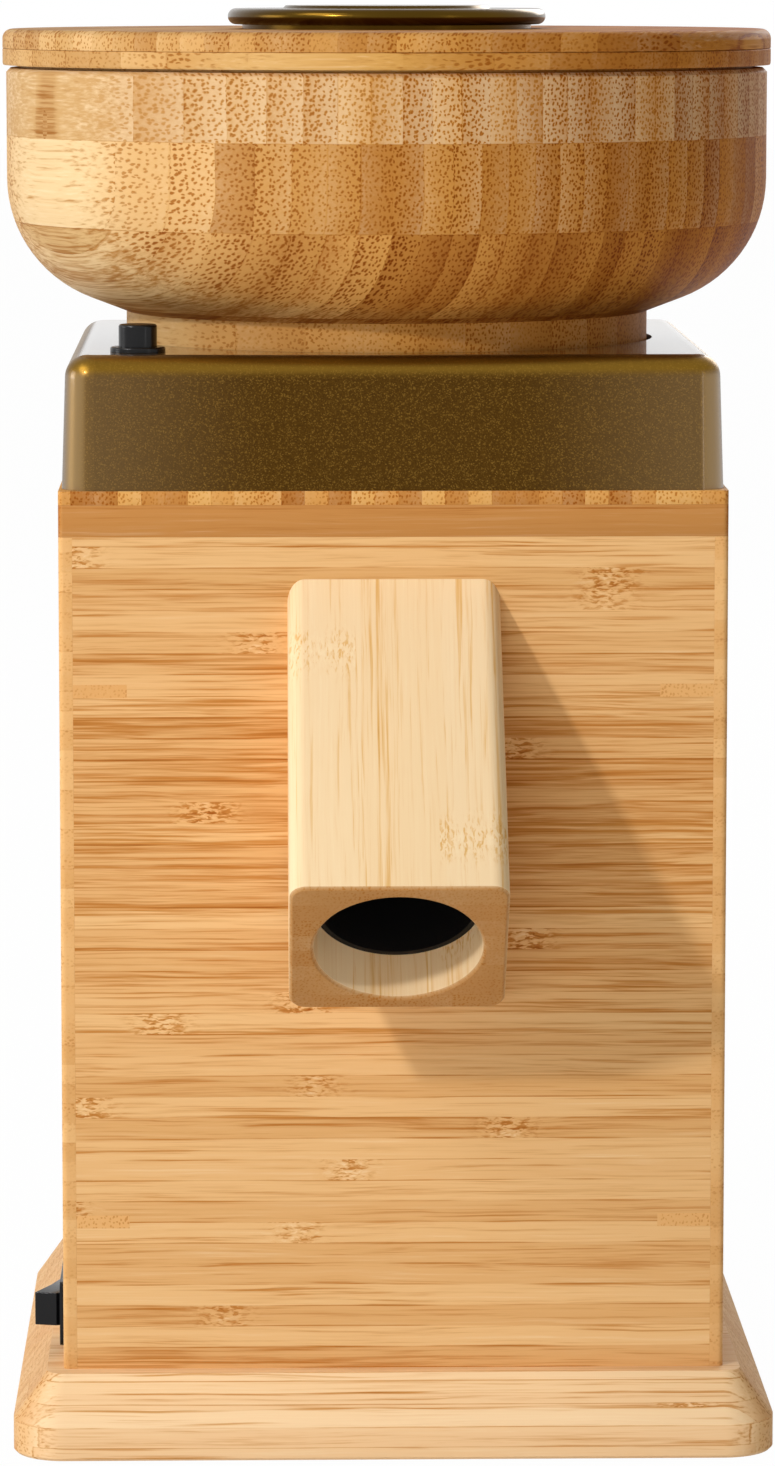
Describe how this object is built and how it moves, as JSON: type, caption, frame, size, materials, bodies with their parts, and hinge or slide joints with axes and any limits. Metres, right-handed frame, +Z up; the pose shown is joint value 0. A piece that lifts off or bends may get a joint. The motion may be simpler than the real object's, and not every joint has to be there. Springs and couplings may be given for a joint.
{
  "type": "electric grain mill",
  "caption": "Upright household stone grain mill: bamboo housing on a wide base, round covered hopper on top, slanted square flour spout in front, rocker switch low on the left side.",
  "frame": {"origin": "middle of the whole mill's footprint box, on the surface it stands on", "axes": "+X to the mill's right as seen from the front, +Y to its back, +Z up along the milling axis"},
  "size_m": [0.2126, 0.2668, 0.3885],
  "materials": {
    "bamboo_base": "satin oil",
    "bamboo_side": "satin oil",
    "bamboo_front": "satin oil",
    "bamboo_end_grain": "satin oil",
    "bamboo_dark": "satin oil",
    "bamboo_spout": "satin oil",
    "bamboo_bowl": "satin oil",
    "bamboo_lid": "satin oil",
    "bronze_paint": "metallic flake, semi-gloss",
    "bronze_metal": "metallic, semi-gloss",
    "black_gloss": "gloss",
    "black_plastic": "satin",
    "rubber": "matt",
    "felt": "matt",
    "zinc_steel": "zinc plated",
    "bright_steel": "ground",
    "cast_aluminium": "as cast",
    "millstone": "dressed",
    "laminations": "varnished",
    "copper": "enamelled wire",
    "capacitor_shell": "drawn",
    "ivory_plastic": "satin"
  },
  "bodies": {
    "housing": {"base_board": "bamboo_base", "rubber_feet": "rubber", "foot_screws": "zinc_steel", "base_screws": "zinc_steel", "left_panel": "bamboo_side", "right_panel": "bamboo_side", "front_panel": "bamboo_front", "back_panel": "bamboo_front", "front_keys": "bamboo_end_grain", "back_keys": "bamboo_end_grain", "top_board": "bamboo_dark", "top_veneer": "bamboo_end_grain", "board_screws": "zinc_steel", "cover": "bronze_paint", "cover_screws": "zinc_steel", "spout_block": "bamboo_spout", "spout_sleeve": "black_plastic", "spout_screws": "zinc_steel", "mill_chamber": "cast_aluminium", "shaft_seal": "felt", "thread_ring": "black_plastic", "ring_screws": "zinc_steel", "guide_pins": "bright_steel", "lift_springs": "bright_steel", "upper_bell": "cast_aluminium", "lower_bell": "cast_aluminium", "stator_core": "laminations", "stator_coils": "copper", "motor_bolts": "zinc_steel", "upper_bearing": "bright_steel", "lower_bearing": "bright_steel", "run_capacitor": "capacitor_shell", "terminal_block": "ivory_plastic", "cord_gland": "black_plastic", "switch_housing": "black_gloss", "button_collar": "black_gloss", "button_spring": "bright_steel"},
    "rotor": {"drive_disc": "cast_aluminium", "lower_stone": "millstone", "stone_screws": "zinc_steel", "stone_nut": "zinc_steel", "motor_shaft": "bright_steel", "rotor_core": "laminations", "cooling_fan": "black_plastic"},
    "stone_lift": {"stone_carrier": "cast_aluminium", "upper_stone": "millstone", "carrier_screws": "zinc_steel"},
    "hopper": {"hopper_ring": "black_plastic", "hopper_neck": "bamboo_bowl", "hopper_bowl": "bamboo_bowl", "neck_screws": "zinc_steel", "feed_funnel": "black_plastic", "finger_guard": "bright_steel"},
    "lid": {"lid_lower_ply": "bamboo_lid", "lid_upper_ply": "bamboo_lid", "lid_ring": "bamboo_lid", "lid_disc": "bronze_metal", "lid_screws": "zinc_steel"},
    "rocker": {"switch_rocker": "black_gloss"},
    "button": {"release_button": "black_gloss"}
  },
  "joints": [
    {"name": "rotor_spin", "type": "hinge", "parent": "housing", "child": "rotor", "pos_m": [0, 0.02713, 0.17931], "axis": [0, 0, 1], "continuous": true},
    {"name": "stone_lift", "type": "slide", "parent": "housing", "child": "stone_lift", "axis": [0, 0, 1], "range_m": [-0.0005, 0.0025], "deforming": ["lift_springs"]},
    {"name": "grind_setting", "type": "hinge", "parent": "stone_lift", "child": "hopper", "pos_m": [0, 0.02713, 0.2969], "axis": [0, 0, 1], "range_deg": [-60, 300]},
    {"name": "lid_lift", "type": "slide", "parent": "hopper", "child": "lid", "axis": [0, 0, 1], "range_m": [0, 0.12]},
    {"name": "power_rocker", "type": "hinge", "parent": "housing", "child": "rocker", "pos_m": [-0.086, -0.03587, 0.0365], "axis": [0, 0, 1], "range_deg": [0, 40]},
    {"name": "release_press", "type": "slide", "parent": "housing", "child": "button", "axis": [0, 0, -1], "range_m": [0, 0.003], "stiffness_N_per_m": 500, "springref_m": -0.004, "deforming": ["button_spring"]}
  ],
  "couplings": [
    {"joint": "stone_lift", "follows": "grind_setting", "m_per_rad": 0.00047746}
  ]
}
